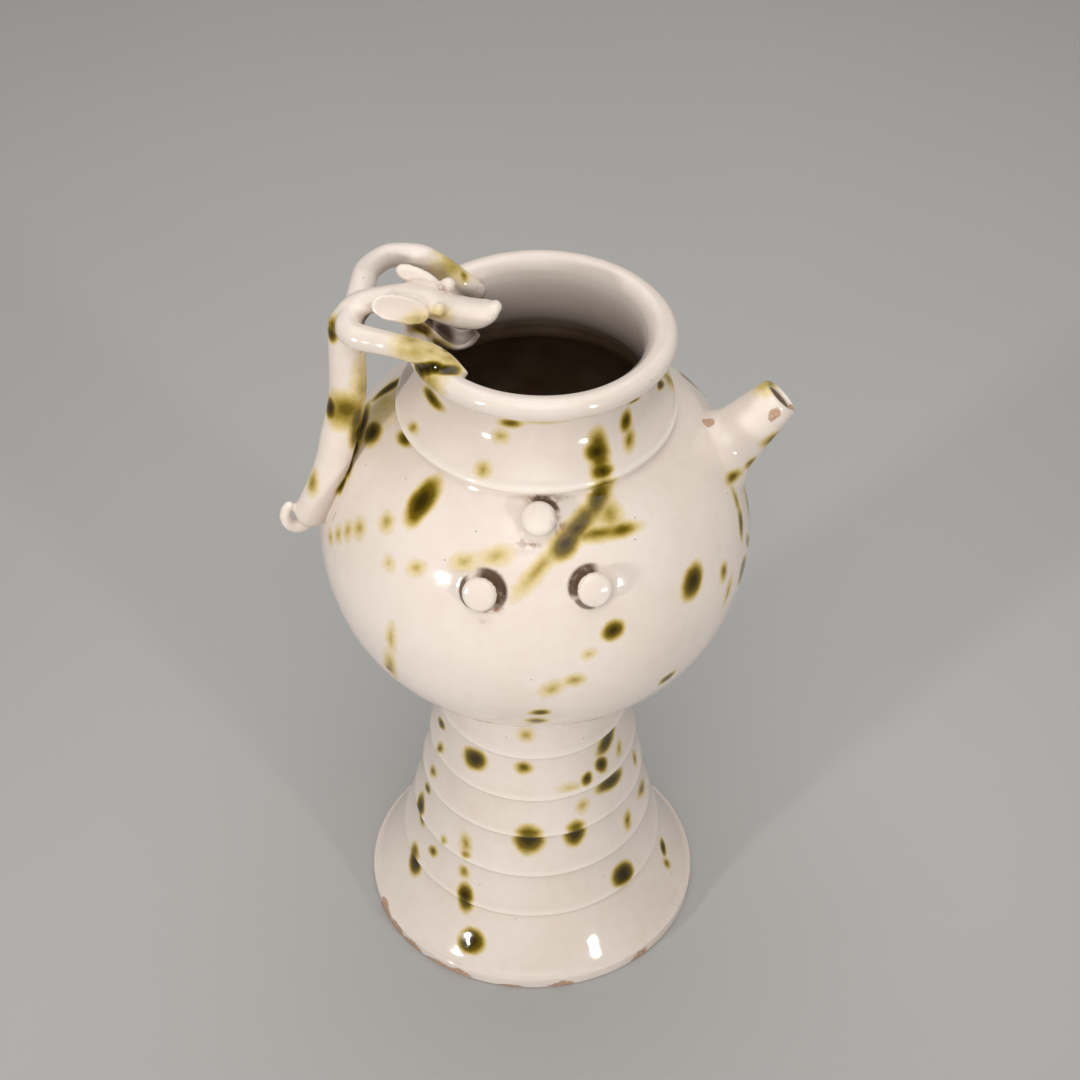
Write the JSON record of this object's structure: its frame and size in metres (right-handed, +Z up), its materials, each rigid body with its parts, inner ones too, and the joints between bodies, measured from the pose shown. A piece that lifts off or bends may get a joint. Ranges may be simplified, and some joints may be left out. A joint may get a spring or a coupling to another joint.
{
  "type": "glazed porcelain jar",
  "caption": "Round glazed jar on a tall ridged hollow foot, with a rolled mouth, a short spout, small studs and a dragon-shaped handle.",
  "frame": {"origin": "centre of the jar's underside, on the turning axis, at the level it stands on", "axes": "+Z up along the turning axis, +X towards the spout, -X towards the dragon handle, -Y towards the studs"},
  "size_m": [0.1785, 0.1534, 0.2967],
  "materials": {
    "glazed_porcelain": "glossy warm white glaze with olive green splashes and yellow haloes; bare pinkish clay at the foot's rim"
  },
  "bodies": {
    "root": {"jar": "glazed_porcelain"}
  },
  "joints": []
}
